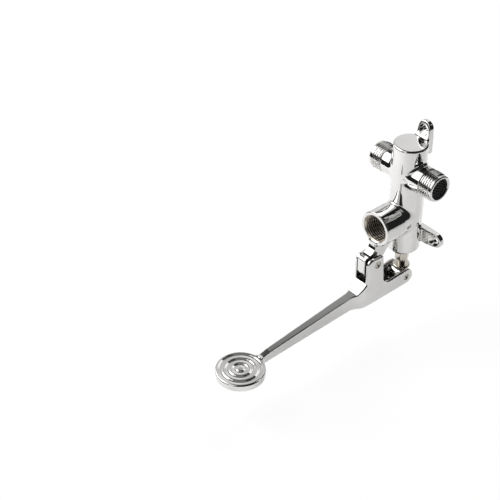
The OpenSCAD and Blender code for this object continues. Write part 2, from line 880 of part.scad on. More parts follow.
// Cartridge with a spider at its inner end and a seat plate at its outer end
module check_body(side) {
    groove_h = check_o_ring_d + groove_play;
    color(black_plastic) along_inlet(side) difference() {
        translate([0, 0, stop_off]) cylinder(r = check_r, h = check_l);
        translate([0, 0, spider_out]) cylinder(r = check_in_r, h = plate_in - spider_out);
        translate([0, 0, plate_in - over]) cylinder(d = plate_d, h = plate_t + 2 * over);
        translate([0, 0, stop_off - over])
            cylinder(d = poppet_stem_d + 2 * run_gap, h = spider_t + 2 * over);
        for (i = [1:window_count]) rotate([0, 0, (i - 0.5) * 360 / window_count])
            translate([window_at, 0, stop_off - over]) cylinder(r = window_r, h = spider_t + 2 * over);
        translate([0, 0, check_ring_u - groove_h / 2])
            ring(inlet_bore_r + over, inlet_bore_r - check_o_ring_d, groove_h);
    }
}

// Disc with a stem that slides in the spider and a boss that holds the rubber ring
module check_poppet(side) {
    color(black_plastic) along_inlet(side) union() {
        translate([0, 0, disc_in]) cylinder(d = poppet_d, h = poppet_t);
        translate([0, 0, stop_off - eps]) cylinder(d = poppet_stem_d, h = disc_in - stop_off + 2 * eps);
        translate([0, 0, seal_in - eps]) cylinder(r = seal_boss_r, h = poppet_seal_t + eps);
    }
}

module poppet_seal(side) {
    color(rubber) along_inlet(side) translate([0, 0, seal_in])
        ring(poppet_d / 2, seal_boss_r + seat_gap, poppet_seal_t);
}

module check_spring(side) {
    wire_r = check_wire_d / 2;
    color(steel) along_inlet(side)
        coil(
            check_spring_d / 2,
            wire_r,
            spider_out + wire_r + face_gap,
            disc_in - wire_r - face_gap,
            check_turns
        );
}

module check_o_ring(side) {
    color(rubber) along_inlet(side) translate([0, 0, check_ring_u])
        round_seal(inlet_bore_r - check_o_ring_d + seat_gap, inlet_bore_r - seat_gap);
}

// Perforated disc in front of the cartridge
module strainer(side) {
    rows = floor(check_r / mesh_pitch);
    reach = check_r - mesh_hole_d;
    color(black_plastic) along_inlet(side) translate([0, 0, cartridge_end]) difference() {
        cylinder(r = check_r, h = strainer_t);
        for (i = [-rows:rows])
            for (j = [-rows:rows])
                let (place = mesh_pitch * [i + j / 2, j * sin(60)])
                    if (norm(place) < reach)
                        translate([place[0], place[1], -over])
                            cylinder(d = mesh_hole_d, h = strainer_t + 2 * over);
    }
}

valve_body();
seat_ring();
seat_o_ring();
bonnet();
bonnet_o_ring();
stem_o_rings();
spindle();
spindle_foot();
valve_plug();
seat_washer();
plug_nut();
return_spring();
lever();
pivot_pin();
roller();
roller_pin();
check_body(-1);  // check_body_left
check_body(1);  // check_body_right
check_poppet(-1);  // check_poppet_left
check_poppet(1);  // check_poppet_right
poppet_seal(-1);  // poppet_seal_left
poppet_seal(1);  // poppet_seal_right
check_spring(-1);  // check_spring_left
check_spring(1);  // check_spring_right
check_o_ring(-1);  // check_o_ring_left
check_o_ring(1);  // check_o_ring_right
strainer(-1);  // strainer_left
strainer(1);  // strainer_right
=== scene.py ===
import math

import bmesh
import bpy
import numpy as np
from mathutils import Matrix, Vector


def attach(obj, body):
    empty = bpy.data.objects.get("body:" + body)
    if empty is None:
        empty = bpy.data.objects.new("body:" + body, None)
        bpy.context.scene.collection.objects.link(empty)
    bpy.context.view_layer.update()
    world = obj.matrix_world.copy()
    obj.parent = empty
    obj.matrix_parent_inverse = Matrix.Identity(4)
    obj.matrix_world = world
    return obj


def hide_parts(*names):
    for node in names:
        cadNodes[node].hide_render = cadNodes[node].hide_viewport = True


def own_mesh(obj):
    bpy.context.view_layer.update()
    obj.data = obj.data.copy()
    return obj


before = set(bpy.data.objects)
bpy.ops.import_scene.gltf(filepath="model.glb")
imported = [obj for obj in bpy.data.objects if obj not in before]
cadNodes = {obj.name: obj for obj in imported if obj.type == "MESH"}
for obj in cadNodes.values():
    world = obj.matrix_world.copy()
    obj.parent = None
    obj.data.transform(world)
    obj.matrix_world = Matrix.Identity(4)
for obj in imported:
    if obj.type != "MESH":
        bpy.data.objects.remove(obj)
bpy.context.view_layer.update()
mm = 0.001
print("frame loaded,", len(cadNodes), "CAD nodes")

# solids are written as distance fields: a function of x, y, z in millimetres, negative inside


def roundBoth(a, b, r):  # keeps what is inside both, with the edge rounded
    return np.minimum(-r, np.maximum(a, b)) + np.hypot(np.maximum(a + r, 0), np.maximum(b + r, 0))


def filletJoin(a, b, r):  # joins two solids with a fillet
    return np.maximum(r, np.minimum(a, b)) - np.hypot(np.maximum(r - a, 0), np.maximum(r - b, 0))


def cutAway(a, b, r):  # takes b out of a, with the edge rounded
    return roundBoth(a, -b, r)


def slabField(v, middle, half):  # distance to a slab between two flat faces
    return np.abs(v - middle) - half


def outlineField(points, u, v):  # distance to a closed outline in two axes
    u, v = np.broadcast_arrays(u, v)
    shape = u.shape
    pu, pv = u.ravel(), v.ravel()
    best = np.full(pu.shape, 1e18)
    inside = np.zeros(pu.shape, bool)
    for (au, av), (bu, bv) in zip(points, points[1:] + points[:1]):
        eu, ev = bu - au, bv - av
        wu, wv = pu - au, pv - av
        t = np.clip((wu * eu + wv * ev) / max(eu * eu + ev * ev, 1e-12), 0, 1)
        best = np.minimum(best, (wu - eu * t) ** 2 + (wv - ev * t) ** 2)
        crosses = (av > pv) != (bv > pv)
        if ev:
            inside ^= crosses & (pu < au + eu * (pv - av) / ev)
    return (np.sqrt(best) * np.where(inside, -1, 1)).reshape(shape)


def arcPoints(cu, cv, r, a0, a1, count=8):
    angles = [math.radians(a0 + (a1 - a0) * i / count) for i in range(count + 1)]
    return [(cu + r * math.cos(a), cv + r * math.sin(a)) for a in angles]


# a skin of quads is laid over a field, and its points are pulled onto the surface

skin = dict(slopeReach=0.02, pulls=5, flattest=0.05, quickCell=1.6)
cellCorners = [(i, j, k) for i in (0, 1) for j in (0, 1) for k in (0, 1)]


def fieldSlope(field, points):
    slope = np.zeros_like(points)
    for axis in range(3):
        step = np.zeros(3)
        step[axis] = skin["slopeReach"]
        ahead, behind = points + step, points - step
        slope[:, axis] = field(*ahead.T) - field(*behind.T)
    return slope / (2 * skin["slopeReach"])


def cornerOf(grid, corner):  # the same corner of every cell
    i, j, k = corner
    nx, ny, nz = grid.shape
    return grid[i:nx - 1 + i, j:ny - 1 + j, k:nz - 1 + k]


def cellPoints(values, cells):  # mean of the places where a cell's edges cross the surface
    total = np.zeros((len(cells), 3))
    hits = np.zeros(len(cells))
    for corner in cellCorners:
        for axis in range(3):
            if corner[axis]:
                continue
            end = list(corner)
            end[axis] = 1
            a = values[tuple((cells + corner).T)]
            b = values[tuple((cells + end).T)]
            cross = (a < 0) != (b < 0)
            at = np.array(corner, float)[None, :].repeat(len(cells), 0)
            at[:, axis] = np.where(cross, a / np.where(cross, a - b, 1), 0)
            total += at * cross[:, None]
            hits += cross
    return total / hits[:, None]


def skinQuads(inside, number):  # one quad round each grid edge that crosses the surface
    faces = []
    for axis in range(3):
        one, two = (axis + 1) % 3, (axis + 2) % 3
        first = np.take(inside, range(inside.shape[axis] - 1), axis)
        second = np.take(inside, range(1, inside.shape[axis]), axis)
        edges = np.argwhere(first != second)
        ok = (edges[:, one] > 0) & (edges[:, two] > 0)
        ok &= (edges[:, one] < number.shape[one]) & (edges[:, two] < number.shape[two])
        edges = edges[ok]
        quad = []
        for a, b in ((1, 1), (0, 1), (0, 0), (1, 0)):
            at = edges.copy()
            at[:, one] -= a
            at[:, two] -= b
            quad.append(number[tuple(at.T)])
        quad = np.stack(quad, 1)
        flip = ~first[tuple(edges.T)]
        quad[flip] = quad[flip][:, ::-1]
        faces.append(quad)
    return np.concatenate(faces)


def skinOf(field, low, high, cell):  # points, quads and normals
    axes = [np.arange(a, b + cell, cell) for a, b in zip(low, high)]
    values = field(axes[0][:, None, None], axes[1][None, :, None], axes[2][None, None, :])
    values = np.ascontiguousarray(np.broadcast_to(values, [len(a) for a in axes]))
    inside = values < 0
    count = sum(cornerOf(inside, corner).astype(np.int8) for corner in cellCorners)
    cells = np.argwhere((count > 0) & (count < 8))
    number = np.full(count.shape, -1, np.int64)
    number[tuple(cells.T)] = np.arange(len(cells))
    points = np.array(low) + (cells + cellPoints(values, cells)) * cell
    for pull in range(skin["pulls"]):
        slope = fieldSlope(field, points)
        steep = np.maximum((slope ** 2).sum(1), skin["flattest"])
        move = slope * (field(*points.T) / steep)[:, None]
        points = points - np.clip(move, -cell / 2, cell / 2)
    slope = fieldSlope(field, points)
    normals = slope / np.maximum(np.linalg.norm(slope, axis=1), 1e-9)[:, None]
    return points, skinQuads(inside, number), normals


def meshPiece(name, points, faces, material, normals=None, sharp=None):
    mesh = bpy.data.meshes.new(name)
    mesh.from_pydata((points * mm).tolist(), [], faces)
    mesh.update()
    mesh.shade_smooth()
    if normals is not None:
        mesh.normals_split_custom_set_from_vertices(normals.tolist())
    elif sharp:
        mesh.set_sharp_from_angle(angle=math.radians(sharp))
    mesh.materials.append(material)
    piece = bpy.data.objects.new(name, mesh)
    bpy.context.scene.collection.objects.link(piece)
    return piece


def fieldPiece(name, field, low, high, cell, material):
    points, faces, normals = skinOf(field, low, high, cell * (1))
    print(name, "skinned,", len(faces), "quads")
    return meshPiece(name, points, faces.tolist(), material, normals)


def tidyFaces(piece):
    bm = bmesh.new()
    bm.from_mesh(piece.data)
    bmesh.ops.remove_doubles(bm, verts=bm.verts, dist=1e-6)
    bmesh.ops.recalc_face_normals(bm, faces=bm.faces)
    bm.to_mesh(piece.data)
    bm.free()


def turned(name, rows, place, material, turns, ridge=None, sharp=40, closed=False):
    # rows are (along, radius, share of ridge); place takes along, across, up to x, y, z
    angle = np.linspace(0, 2 * math.pi, turns, endpoint=False)
    points = []
    for along, radius, share in rows:
        r = np.full(turns, float(radius))
        if share and ridge:
            r = r + share * ridge(along, angle)
        points.append(place(np.full(turns, float(along)), r * np.cos(angle), r * np.sin(angle)))
    faces = []
    last = len(rows)
    for i in range(last if closed else last - 1):
        a, b = i * turns, ((i + 1) % last) * turns
        for k in range(turns):
            q = (k + 1) % turns
            faces.append((a + k, a + q, b + q, b + k))
    piece = meshPiece(name, np.concatenate(points), faces, material, sharp=sharp)
    tidyFaces(piece)
    return piece


def seat(piece, body, slotName, *nodeNames):
    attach(piece, body)
    if nodeNames:
        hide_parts(*nodeNames)
    return piece


# finishes: tint and color are the two ends of a cloudy tone, the recess colour is painted shade laid in
# slots, grooves and corners that occlusion finds, edge is the colour of rubbed corners that also paints a
# highlight along crests, gloss the least and most roughness, wave the strength of the bump, reach and depth
# say where the painted shade begins, grain and patch are the fineness of the two noises

chromeLook = dict(
    color=(0.665, 0.660, 0.650), tint=(0.625, 0.620, 0.610),
    paintedShade=(0.20, 0.172, 0.148), edge=(0.70, 0.67, 0.62),
    metal=1.0, shine=0.5, gloss=(0.02, 0.06), wave=0.010, rubAndHighlight=0.25,
    reach=0.007, depth=(0.08, 0.38), grain=900, patch=60)
nickelLook = dict(
    color=(0.50, 0.47, 0.42), tint=(0.40, 0.375, 0.335),
    paintedShade=(0.40, 0.375, 0.335), edge=(0.60, 0.57, 0.52),
    metal=1.0, shine=0.5, gloss=(0.12, 0.24), wave=0.02, rubAndHighlight=0.5,
    reach=0.005, depth=(0.08, 0.38), grain=1400, patch=220)
steelLook = dict(
    color=(0.62, 0.61, 0.60), tint=(0.55, 0.545, 0.535),
    paintedShade=(0.55, 0.545, 0.535), edge=(0.70, 0.69, 0.68),
    metal=1.0, shine=0.5, gloss=(0.08, 0.18), wave=0.015, rubAndHighlight=0.4,
    reach=0.005, depth=(0.08, 0.38), grain=1600, patch=180)
brassLook = dict(
    color=(0.62, 0.50, 0.33), tint=(0.40, 0.31, 0.21),
    paintedShade=(0.40, 0.31, 0.21), edge=(0.72, 0.60, 0.42),
    metal=1.0, shine=0.5, gloss=(0.20, 0.38), wave=0.03, rubAndHighlight=0.5,
    reach=0.005, depth=(0.08, 0.38), grain=1200, patch=160)
# the outlet's recess colour paints deep shade into its thread grooves, and its bright edge colour paints a
# highlight on the crests
mouthLook = dict(
    color=(0.58, 0.52, 0.45), tint=(0.45, 0.40, 0.34),
    paintedShade=(0.035, 0.03, 0.025), edge=(0.85, 0.78, 0.68),
    metal=1.0, shine=0.5, gloss=(0.26, 0.38), wave=0.02, rubAndHighlight=0.85,
    reach=0.002, depth=(0.42, 0.85), grain=1200, patch=160)
blackLook = dict(
    color=(0.008, 0.008, 0.008), tint=(0.016, 0.015, 0.014),
    paintedShade=(0.016, 0.015, 0.014), edge=(0.03, 0.03, 0.03),
    metal=0.0, shine=0.08, gloss=(0.45, 0.62), wave=0.05, rubAndHighlight=0.4,
    reach=0.005, depth=(0.08, 0.38), grain=2500, patch=300)
rubberLook = dict(
    color=(0.016, 0.016, 0.017), tint=(0.032, 0.032, 0.033),
    paintedShade=(0.032, 0.032, 0.033), edge=(0.05, 0.05, 0.05),
    metal=0.0, shine=0.2, gloss=(0.55, 0.75), wave=0.08, rubAndHighlight=0.4,
    reach=0.005, depth=(0.08, 0.38), grain=2000, patch=260)
anyFinish = dict(cloudDetail=4, toneSpan=(0.32, 0.62), shadeSamples=12, cornerSpan=(0.53, 0.62),
                 grainDetail=3, grainSpan=(0.3, 0.7), recessRough=0.55, bumpDepth=0.0004)


def setRange(node, span):
    node.inputs["From Min"].default_value, node.inputs["From Max"].default_value = span


def finishFor(name, look):
    mat = bpy.data.materials.new(name)
    mat.use_nodes = True
    tree = mat.node_tree
    shader = tree.nodes["Principled BSDF"]
    shader.inputs["Metallic"].default_value = look["metal"]
    shader.inputs["Specular IOR Level"].default_value = look["shine"]

    # cloudy tone
    where = tree.nodes.new("ShaderNodeTexCoord")
    cloud = tree.nodes.new("ShaderNodeTexNoise")
    cloud.inputs["Scale"].default_value = look["patch"]
    cloud.inputs["Detail"].default_value = anyFinish["cloudDetail"]
    tree.links.new(where.outputs["Object"], cloud.inputs["Vector"])
    tone = tree.nodes.new("ShaderNodeValToRGB")
    low, high = tone.color_ramp.elements
    low.position, high.position = anyFinish["toneSpan"]
    low.color = (*look["tint"], 1)
    high.color = (*look["color"], 1)
    tree.links.new(cloud.outputs["Fac"], tone.inputs["Fac"])

    # painted shade: the base colour darkens where ambient occlusion finds slots, grooves and corners, and is
    # duller there
    paintedShade = tree.nodes.new("ShaderNodeAmbientOcclusion")
    paintedShade.samples = anyFinish["shadeSamples"]
    paintedShade.inputs["Distance"].default_value = look["reach"]
    shadeMask = tree.nodes.new("ShaderNodeMapRange")
    setRange(shadeMask, look["depth"])
    tree.links.new(paintedShade.outputs["AO"], shadeMask.inputs["Value"])
    shadedTone = tree.nodes.new("ShaderNodeMix")
    shadedTone.data_type = "RGBA"
    shadedTone.inputs["A"].default_value = (*look["paintedShade"], 1)
    tree.links.new(shadeMask.outputs["Result"], shadedTone.inputs["Factor"])
    tree.links.new(tone.outputs["Color"], shadedTone.inputs["B"])

    # sharp corners and crests are a little brighter, partly rubbed wear and partly a painted highlight
    shape = tree.nodes.new("ShaderNodeNewGeometry")
    sharp = tree.nodes.new("ShaderNodeMapRange")
    setRange(sharp, anyFinish["cornerSpan"])
    sharp.inputs["To Max"].default_value = look["rubAndHighlight"]
    tree.links.new(shape.outputs["Pointiness"], sharp.inputs["Value"])
    rubbedAndHighlit = tree.nodes.new("ShaderNodeMix")
    rubbedAndHighlit.data_type = "RGBA"
    rubbedAndHighlit.inputs["B"].default_value = (*look["edge"], 1)
    tree.links.new(sharp.outputs["Result"], rubbedAndHighlit.inputs["Factor"])
    tree.links.new(shadedTone.outputs["Result"], rubbedAndHighlit.inputs["A"])
    tree.links.new(rubbedAndHighlit.outputs["Result"], shader.inputs["Base Color"])

    # fine roughness, duller in recesses
    fine = tree.nodes.new("ShaderNodeTexNoise")
    fine.inputs["Scale"].default_value = look["grain"]
    fine.inputs["Detail"].default_value = anyFinish["grainDetail"]
    tree.links.new(where.outputs["Object"], fine.inputs["Vector"])
    rough = tree.nodes.new("ShaderNodeMapRange")
    setRange(rough, anyFinish["grainSpan"])
    rough.inputs["To Min"].default_value, rough.inputs["To Max"].default_value = look["gloss"]
    tree.links.new(fine.outputs["Fac"], rough.inputs["Value"])
    dull = tree.nodes.new("ShaderNodeMapRange")
    dull.inputs["To Min"].default_value = anyFinish["recessRough"]
    tree.links.new(shadeMask.outputs["Result"], dull.inputs["Value"])
    tree.links.new(rough.outputs["Result"], dull.inputs["To Max"])
    tree.links.new(dull.outputs["Result"], shader.inputs["Roughness"])

    # slight unevenness of the casting under the plate
    bump = tree.nodes.new("ShaderNodeBump")
    bump.inputs["Strength"].default_value = look["wave"]
    bump.inputs["Distance"].default_value = anyFinish["bumpDepth"]
    tree.links.new(cloud.outputs["Fac"], bump.inputs["Height"])
    tree.links.new(bump.outputs["Normal"], shader.inputs["Normal"])
    return mat


chromePlate = finishFor("chromePlate", chromeLook)
nickelPlate = finishFor("nickelPlate", nickelLook)
brightSteel = finishFor("brightSteel", steelLook)
bareBrass = finishFor("bareBrass", brassLook)
outletMetal = finishFor("outletMetal", mouthLook)
blackMoulding = finishFor("blackMoulding", blackLook)
dullRubber = finishFor("dullRubber", rubberLook)
print("finishes made")

# valve casting: barrel, inlet necks, outlet boss, wall lugs and pivot lug

casting = dict(
    axisY=-16.6, inletZ=57.5, outletZ=21.0, top=81.3, bottom=-9.0, radius=12.5, topEdge=1.5, lowEdge=3.4,
    neckRadius=10.3, neckEnd=18.3, neckEdge=0.35, neckFillet=2.2,
    bossRadius=13.4, bossRoot=11.7, bossFlare=13.3, mouthY=-47.6, rim=0.8, bossFillet=2.2,
    lugHalf=19.3, lugTip=5.7, lugRoot=6.1, lugStart=12.5, lugBuried=9.0, lugThick=4.6, lugRootThick=5.9,
    lugEdge=1.0, lugFillet=1.6, earZ=87.9, earFoot=78.0,
    screwRadius=2.6, sinkRadius=4.2, sinkSlant=0.707, sinkOver=1.0, sinkEdge=0.25,
    pivotY=-49.5, pivotZ=-6.0, eyeHalf=9.0, eyeDrop=11.0, eyeRound=5.4, shoulderUp=6.0, shoulderRound=2.5,
    eyeRootDrop=11.9, eyeThick=7.2, eyeMid=-0.85, eyeEdge=0.5, eyeFillet=2.0, pinBore=2.25, pinEdge=0.2,
    chamberRadius=7.3, chamberLow=40.0, chamberTop=76.3, gearBore=8.0, gearTop=41.0,
    inletPort=5.5, inletPortEnd=15.0, outletPort=6.5, cartridgeBore=7.7, cartridgeStop=13.5,
    mouthRadius=10.75, mouthStart=17.6, hollowEdge=0.25,
    boxLow=(-26, -59.6, -18.2), boxHigh=(26, 1.2, 95.2), cell=0.4)


def pivotLugOutline(c):
    front, back = c["pivotY"] - c["eyeHalf"], c["pivotY"] + c["eyeHalf"]
    high, low = c["pivotZ"] + c["shoulderUp"], c["pivotZ"] - c["eyeDrop"]
    shoulder, under = c["shoulderRound"], c["eyeRound"]
    neck = c["mouthY"] - front - shoulder
    root = c["outletZ"] - c["eyeRootDrop"]
    return (arcPoints(front + shoulder, high - shoulder, shoulder, 180, 90, 6)
            + arcPoints(front + shoulder, high + neck, neck, -90, 0, 8)
            + [(c["mouthY"], root), (c["axisY"] - c["radius"], root), (back, c["pivotZ"])]
            + arcPoints(back - under, low + under, under, 0, -90, 8)
            + arcPoints(front + under, low + under, under, -90, -180, 8))


def lugOutline(c, start, reach):  # straight to the start, then drawn in to a round tip
    half, tip, run = c["lugRoot"], c["lugTip"], reach - start
    lean = math.degrees(math.acos(tip / math.hypot(half, run)) - math.atan2(run, half))
    return ([(-c["lugBuried"], half), (-c["lugBuried"], -half), (start, -half)]
            + arcPoints(reach, 0, tip, lean - 90, 90 - lean, 24)
            + [(start, half)])


def wallLug(c, outline, start, reach, along, across, y):  # flat on the wall, thinner towards its tip
    fall = (c["lugRootThick"] - c["lugThick"]) / (reach - start)
    front = (-y - c["lugRootThick"] + fall * np.maximum(along - start, 0)) / math.hypot(1, fall)
    return roundBoth(roundBoth(outlineField(outline, along, across), front, c["lugEdge"]), y, c["lugEdge"])


earStart = casting["top"] - casting["earFoot"]
earReach = casting["earZ"] - casting["earFoot"]
sideLug = lugOutline(casting, casting["lugStart"], casting["lugHalf"])
topEar = lugOutline(casting, earStart, earReach)
eyeSide = pivotLugOutline(casting)


def castingHollow(c, z, ay, side, r, rIn, rOut):  # chamber, gear bore, ports, cartridge bores and mouth
    chamber = np.maximum(np.maximum(r - c["chamberRadius"], z - c["chamberTop"]), c["chamberLow"] - z)
    gear = np.maximum(r - c["gearBore"], z - c["gearTop"])
    inletPorts = np.maximum(rIn - c["inletPort"], side - c["inletPortEnd"])
    outletPort = np.maximum(rOut - c["outletPort"], ay)
    cartridges = np.maximum(rIn - c["cartridgeBore"], c["cartridgeStop"] - side)
    mouth = np.maximum(rOut - c["mouthRadius"], ay + c["mouthStart"])
    hollow = np.minimum(np.minimum(chamber, gear), np.minimum(inletPorts, outletPort))
    return np.minimum(np.minimum(hollow, cartridges), mouth)


def castingField(x, y, z, c=casting):
    ay = y - c["axisY"]
    side = np.abs(x)
    r = np.hypot(x, ay)
    rIn = np.hypot(ay, z - c["inletZ"])
    rOut = np.hypot(x, z - c["outletZ"])
    solid = roundBoth(roundBoth(r - c["radius"], z - c["top"], c["topEdge"]), c["bottom"] - z, c["lowEdge"])
    necks = roundBoth(rIn - c["neckRadius"], side - c["neckEnd"], c["neckEdge"])
    solid = filletJoin(solid, necks, c["neckFillet"])
    bossR = c["bossRoot"] + (c["bossRadius"] - c["bossRoot"]) * np.clip(-ay / c["bossFlare"], 0, 1)
    boss = np.maximum(roundBoth(rOut - bossR, c["mouthY"] - y, c["rim"]), ay)
    solid = filletJoin(solid, boss, c["bossFillet"])
    eye = roundBoth(outlineField(eyeSide, y, z), slabField(x, c["eyeMid"], c["eyeThick"] / 2), c["eyeEdge"])
    solid = filletJoin(solid, eye, c["eyeFillet"])
    lugs = np.minimum(wallLug(c, sideLug, c["lugStart"], c["lugHalf"], side, z, y),
                      wallLug(c, topEar, earStart, earReach, z - c["earFoot"], x, y))
    solid = filletJoin(solid, lugs, c["lugFillet"])
    holes = np.minimum(np.hypot(side - c["lugHalf"], z), np.hypot(x, z - c["earZ"])) - c["screwRadius"]
    sink = (holes + y + c["lugThick"] - c["sinkRadius"] + c["screwRadius"]) * c["sinkSlant"]
    sink = np.maximum(sink, -y - c["lugThick"] - c["sinkOver"])
    solid = cutAway(solid, np.minimum(holes, sink), c["sinkEdge"])
    pin = np.hypot(y - c["pivotY"], z - c["pivotZ"]) - c["pinBore"]
    solid = cutAway(solid, pin, c["pinEdge"])
    return cutAway(solid, castingHollow(c, z, ay, side, r, rIn, rOut), c["hollowEdge"])


body = fieldPiece("valveCasting", castingField, casting["boxLow"], casting["boxHigh"],
                  casting["cell"], chromePlate)
seat(body, "body", "chrome", "valve_body")

# pipe threads: a true helix with flat crests, run out at both ends

pipeThread = dict(
    root=9.3155, crest=10.4775, pitch=1.814, ridgeHalf=0.36, ridgeFlank=0.24, turns=120,
    inStart=18.25, inBuried=0.4, inInner=8.4, inFrom=19.0, inTo=28.1, inStep=0.11, inRise=1.0, inFall=0.5,
    lipFrom=28.3, lipRadius=9.88, lipStep=0.12, lipEdge=0.15, tip=30.5, chamfer=0.75,
    tipRound=((1, 0), (0.6, 0.16), (0.16, 0.6), (0, 1)),  # shares of the chamfer, back and in
    bore=7.7, boreFlare=((0, 0.75), (0.12, 0.5), (0.7, 0)),  # back from the tip and out from the bore
    outFrom=17.4, outMouth=31.0, outRim=0.2, outStep=0.1, outRise=1.2, outWide=10.76)


def onInlet(sign):  # places points along the left or the right inlet
    def place(along, across, up):
        return np.stack([sign * along, casting["axisY"] + across, casting["inletZ"] + up], 1)
    return place


def onOutlet(along, across, up):
    return np.stack([across, casting["axisY"] - along, casting["outletZ"] + up], 1)


def easeIn(v, low, high):
    s = min(max((v - low) / (high - low), 0.0), 1.0)
    return s * s * (3 - 2 * s)


def threadRidge(along, angle, t=pipeThread):
    phase = (along / t["pitch"] - angle / (2 * math.pi)) % 1.0
    shape = np.clip((t["ridgeHalf"] - np.abs(phase - 0.5)) / t["ridgeFlank"], 0, 1)
    return (t["crest"] - t["root"]) * shape


def inletRows(t):
    start, root, lip, tip = t["inStart"], t["root"], t["lipRadius"], t["tip"]
    rows = [(start - t["inBuried"], t["inInner"], 0), (start - t["inBuried"], root, 0), (start, root, 0)]
    for u in np.arange(t["inFrom"], t["inTo"], t["inStep"]):
        rise = easeIn(u, t["inFrom"], t["inFrom"] + t["inRise"])
        fall = easeIn(-u, -t["inTo"], -t["inTo"] + t["inFall"])
        rows.append((u, root, rise * fall))
    rows.append((t["lipFrom"] - t["lipStep"], root, 0))
    rows.append((t["lipFrom"], lip - t["lipEdge"], 0))
    rows.append((t["lipFrom"] + t["lipEdge"], lip, 0))
    for back, down in t["tipRound"]:
        rows.append((tip - t["chamfer"] * back, lip - t["chamfer"] * down, 0))
    for back, out in t["boreFlare"]:
        rows.append((tip - back, t["bore"] + out, 0))
    rows.append((start - t["inBuried"], t["bore"], 0))
    return rows


def outletRows(t):
    end = t["outMouth"] - t["outRim"] + t["outStep"] / 10  # so that the last row lies at the rim
    return [(u, t["root"], 1) for u in np.arange(t["outFrom"], end, t["outStep"])]


def outletRidge(along, angle, t=pipeThread):  # the mouth's chamfer cuts into the last turns
    depth = t["outMouth"] - t["outRim"] - along
    run = easeIn(along, t["outFrom"], t["outFrom"] + t["outRise"])
    return np.maximum(threadRidge(along, angle) * run, t["outWide"] - depth - t["root"])


for label, sign in (("Left", -1), ("Right", 1)):
    inletThread = turned("inletThread" + label, inletRows(pipeThread), onInlet(sign), chromePlate,
                         pipeThread["turns"], threadRidge, closed=True)
    seat(inletThread, "body", "chrome", "valve_body")
outletThread = turned("outletThread", outletRows(pipeThread), onOutlet, outletMetal,
                      pipeThread["turns"], outletRidge)
seat(outletThread, "body", "brass", "valve_body")
print("pipe threads cut")

# lever: fork, arm and ridged pedal in one casting

leverShape = dict(
    pivotY=-49.5, pivotZ=-6.0, rollerY=-20.0, rollerZ=-31.2, pedalY=-172.9, pedalZ=-38.3,
    frontY=-58.8, frontHalf=7.0, backHalf=9.3, prongBackY=-43.7, prongLean=1.4, prongTop=0.1,
    floorZ=-20.5, underZ=-41.2, tail=6.6, tailRise=7.0, notch=5.0, corner=2.5, frontCorner=5.0, forkEdge=1.5,
    bellyBack=2.5, bellyFront=4.0, bellyRise=0.35,
    rampY=-65.8, rampZ=-27.5, taperEnd=-71.8, armHalf=3.5, tipHalf=2.35, armUnder=-39.5, armEdge=0.6,
    tipTop=-36.2, tipUnder=-44.1, tipRun=7.5, rootShare=0.66, rootDrop=0.9,
    tipRamp=((-1.5, -0.1), (3.0, 0.95)),  # along from the pedal's rim and up from its face
    pedalRadius=17.85, pedalThick=5.8, pedalEdge=1.3, pedalFillet=2.8,
    ringGap=5.0, ringAt=14.0, ringDepth=0.55, ringCentre=1.5, treadRim=1.0, treadSlant=0.75,
    treadNone=-9.0,  # nothing is cut outside the tread
    slotFront=4.75, slotBack=6.9, slotLow=-35.9, slotEdge=0.2, widenFrom=1.25, widenRun=6.25,
    overFront=1.0, overTop=3.0, overBack=2.0,  # how far the gap's outline passes the fork
    pivotPin=2.2, rollerPin=1.8, pinPlay=0.03, pinHead=0.58, pinDepth=1.6, pinEdge=0.25,
    boxLow=(-18.4, -191.4, -44.8), boxHigh=(18.4, -12.6, 0.9), cell=0.5)


def leverOutline(s):
    root = s["pedalY"] + s["pedalRadius"] * s["rootShare"]
    tip = s["pedalY"] + s["pedalRadius"]
    rise = math.radians(s["tailRise"])
    notchY = s["prongBackY"] + s["prongLean"] + s["notch"]
    notchUp = s["notch"] + s["tail"] + (notchY - s["rollerY"]) * math.sin(rise)
    notchZ = s["rollerZ"] + notchUp / math.cos(rise)
    front, corner = s["frontCorner"], s["corner"]
    return ([(root, s["tipUnder"]), (root, s["pedalZ"] - s["rootDrop"])]
            + [(tip + along, s["pedalZ"] + up) for along, up in s["tipRamp"]]
            + [(tip + s["tipRun"], s["tipTop"]), (s["rampY"], s["rampZ"]), (s["frontY"], s["floorZ"])]
            + arcPoints(s["frontY"] + front, s["prongTop"] - front, front, 180, 90)
            + arcPoints(s["prongBackY"] - corner, s["prongTop"] - corner, corner, 90, 0)
            + arcPoints(notchY, notchZ, s["notch"], 180, 270 + s["tailRise"])
            + arcPoints(s["rollerY"], s["rollerZ"], s["tail"], 90 + s["tailRise"], -90, 20)
            + [(s["frontY"] + s["bellyBack"], s["underZ"])]
            + [(s["frontY"] - s["bellyFront"], s["underZ"] + s["bellyRise"])]
            + [(s["taperEnd"], s["armUnder"]), (tip, s["tipUnder"])])


def slotOutline(s):
    front, top = s["frontY"] - s["overFront"], s["prongTop"] + s["overTop"]
    back = s["rollerY"] + s["tail"] + s["overBack"]
    return [(front, top), (front, s["floorZ"]), (s["prongBackY"] - s["notch"], s["floorZ"]),
            (s["rollerY"] - s["tail"], s["slotLow"]), (back, s["slotLow"]), (back, top)]


def leverHalf(y, s=leverShape):
    slope = (s["backHalf"] - s["frontHalf"]) / (s["rollerY"] - s["frontY"])
    fork = s["frontHalf"] + slope * (y - s["frontY"])
    share = np.clip((s["frontY"] - y) / (s["frontY"] - s["taperEnd"]), 0, 1)
    blend = (1 - np.cos(math.pi * share)) / 2
    tip = s["pedalY"] + s["pedalRadius"]
    run = np.clip((s["taperEnd"] - y) / (s["taperEnd"] - tip), 0, 1)
    arm = s["armHalf"] + (s["tipHalf"] - s["armHalf"]) * run
    return np.where(y > s["frontY"], fork, s["frontHalf"] + (arm - s["frontHalf"]) * blend)


